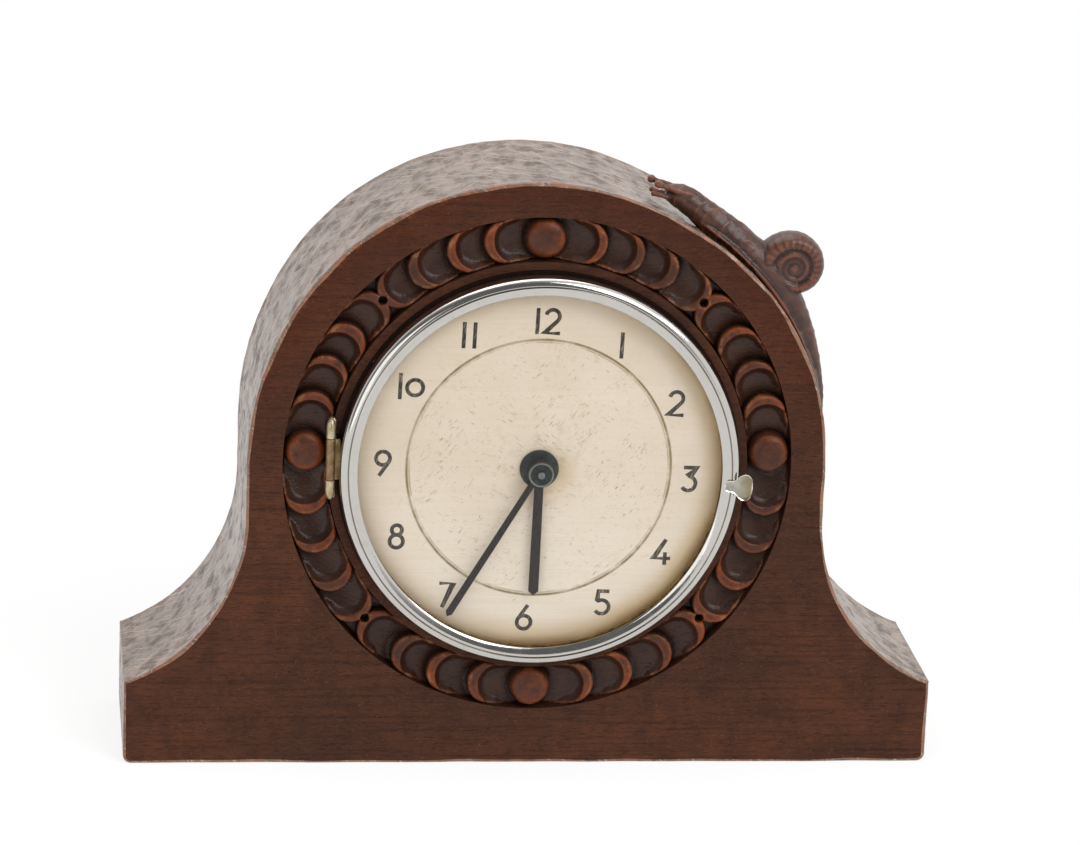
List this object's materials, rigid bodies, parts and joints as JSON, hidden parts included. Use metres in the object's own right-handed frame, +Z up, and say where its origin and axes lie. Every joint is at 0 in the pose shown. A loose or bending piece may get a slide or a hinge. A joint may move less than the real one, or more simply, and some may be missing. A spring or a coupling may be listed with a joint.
{
  "type": "mantel clock",
  "caption": "Free-standing carved wooden shelf clock with a round arch, spreading feet, a carved ring, a hinged glazed bezel and a wound lever movement.",
  "frame": {"origin": "middle of the flat base, halfway through the case's depth", "axes": "+X to the right seen from the front, +Y to the back, +Z up"},
  "size_m": [0.29, 0.0856, 0.214],
  "materials": {
    "oak": "dark stained oak, adzed and waxed",
    "oak_carving": "carved and stained oak",
    "chrome": "chrome plate, worn",
    "glass": "clear domed glass",
    "dial_paint": "cream paint, yellowed at the rim",
    "seat_plate": "tarnished brass",
    "hinge_brass": "tarnished brass",
    "hand_steel": "blackened steel",
    "boss_steel": "dark patinated metal",
    "brass": "lacquered brass",
    "steel": "polished steel",
    "spring_steel": "blued spring steel"
  },
  "bodies": {
    "case": {"case_body": "oak", "carved_ring": "oak_carving", "shoulder_carving": "oak_carving", "seat_plate": "seat_plate", "seat_screws": "steel", "dial_plate": "dial_paint", "hinge_fixed_leaf": "hinge_brass", "hinge_pin": "hinge_brass", "movement_posts": "brass", "post_nuts": "brass", "front_plate": "brass", "back_plate": "brass", "plate_pillars": "brass", "pillar_screws": "steel", "click_screw": "steel", "click_spring": "spring_steel", "hairspring": "spring_steel", "hairspring_stud": "brass", "balance_cone_screws": "steel", "minute_stud": "steel", "dust_cover": "brass", "cover_posts": "brass", "dust_cover_screws": "steel"},
    "bezel": {"bezel_frame": "chrome", "bezel_glass": "glass", "glass_ring": "brass", "thumb_tab": "chrome", "hinge_bezel_leaf": "hinge_brass"},
    "centre": {"centre_arbor": "steel", "centre_wheel": "brass", "cannon_pinion": "steel", "minute_hand": "hand_steel", "hand_nut": "boss_steel", "setting_knob": "brass"},
    "minute_work": {"minute_wheel": "brass"},
    "hour_work": {"hour_wheel": "brass", "hand_collet": "boss_steel", "hour_hand": "hand_steel"},
    "barrel": {"barrel_drum": "brass", "barrel_cover": "brass", "mainspring": "spring_steel"},
    "intermediate": {"intermediate_arbor": "steel", "intermediate_wheel": "brass"},
    "third": {"third_arbor": "steel", "third_wheel": "brass"},
    "fourth": {"fourth_arbor": "steel", "fourth_wheel": "brass"},
    "escape": {"escape_arbor": "steel", "escape_wheel": "brass"},
    "lever": {"pallet_arbor": "steel", "pallet_lever": "steel"},
    "balance": {"balance_staff": "steel", "balance_wheel": "brass"},
    "regulator": {"regulator_lever": "brass"},
    "winding": {"barrel_arbor": "steel", "ratchet_wheel": "steel", "winding_key": "brass"},
    "click": {"click": "steel"}
  },
  "joints": [
    {"name": "bezel_hinge", "type": "hinge", "parent": "case", "child": "bezel", "pos_m": [-0.0738, -0.0382, 0.1144], "axis": [0, 0, -1], "range_deg": [0, 110]},
    {"name": "hands_turn", "type": "hinge", "parent": "case", "child": "centre", "pos_m": [0, 0, 0.111], "axis": [0, 1, 0], "continuous": true},
    {"name": "minute_wheel_turn", "type": "hinge", "parent": "case", "child": "minute_work", "pos_m": [0.00935, 0, 0.1056], "axis": [0, 1, 0], "continuous": true},
    {"name": "hour_turn", "type": "hinge", "parent": "case", "child": "hour_work", "pos_m": [0, 0, 0.111], "axis": [0, 1, 0], "continuous": true},
    {"name": "barrel_turn", "type": "hinge", "parent": "case", "child": "barrel", "pos_m": [-0.01638, 0, 0.09953], "axis": [0, 1, 0], "continuous": true},
    {"name": "intermediate_turn", "type": "hinge", "parent": "case", "child": "intermediate", "pos_m": [-0.01277, 0, 0.12022], "axis": [0, 1, 0], "continuous": true},
    {"name": "third_turn", "type": "hinge", "parent": "case", "child": "third", "pos_m": [0.00648, 0, 0.12222], "axis": [0, 1, 0], "continuous": true},
    {"name": "fourth_turn", "type": "hinge", "parent": "case", "child": "fourth", "pos_m": [0.01798, 0, 0.11804], "axis": [0, 1, 0], "continuous": true},
    {"name": "escape_turn", "type": "hinge", "parent": "case", "child": "escape", "pos_m": [0.01982, 0, 0.10764], "axis": [0, 1, 0], "continuous": true},
    {"name": "lever_rock", "type": "hinge", "parent": "case", "child": "lever", "pos_m": [0.01694, 0, 0.09974], "axis": [0, 1, 0], "range_deg": [-5, 5]},
    {"name": "balance_swing", "type": "hinge", "parent": "case", "child": "balance", "pos_m": [0.01301, 0, 0.08894], "axis": [0, 1, 0], "range_deg": [-270, 270], "stiffness_Nm_per_rad": 0.000024},
    {"name": "regulator_swing", "type": "hinge", "parent": "case", "child": "regulator", "pos_m": [0.01301, 0, 0.08894], "axis": [0, 1, 0], "range_deg": [-20, 20]},
    {"name": "winding_turn", "type": "hinge", "parent": "case", "child": "winding", "pos_m": [-0.01638, 0, 0.09953], "axis": [0, 1, 0], "range_deg": [0, 1800]},
    {"name": "click_lift", "type": "hinge", "parent": "case", "child": "click", "pos_m": [-0.02016, 0, 0.11363], "axis": [0, -1, 0], "range_deg": [0, 10], "stiffness_Nm_per_rad": 0.0005, "springref_deg": -5.73}
  ],
  "couplings": [
    {"joint": "minute_wheel_turn", "follows": "hands_turn", "ratio": -0.33333},
    {"joint": "hour_turn", "follows": "hands_turn", "ratio": 0.083333},
    {"joint": "intermediate_turn", "follows": "hands_turn", "ratio": -0.16667},
    {"joint": "barrel_turn", "follows": "hands_turn", "ratio": 0.027778},
    {"joint": "third_turn", "follows": "hands_turn", "ratio": -8},
    {"joint": "fourth_turn", "follows": "hands_turn", "ratio": 60},
    {"joint": "escape_turn", "follows": "hands_turn", "ratio": -600}
  ]
}
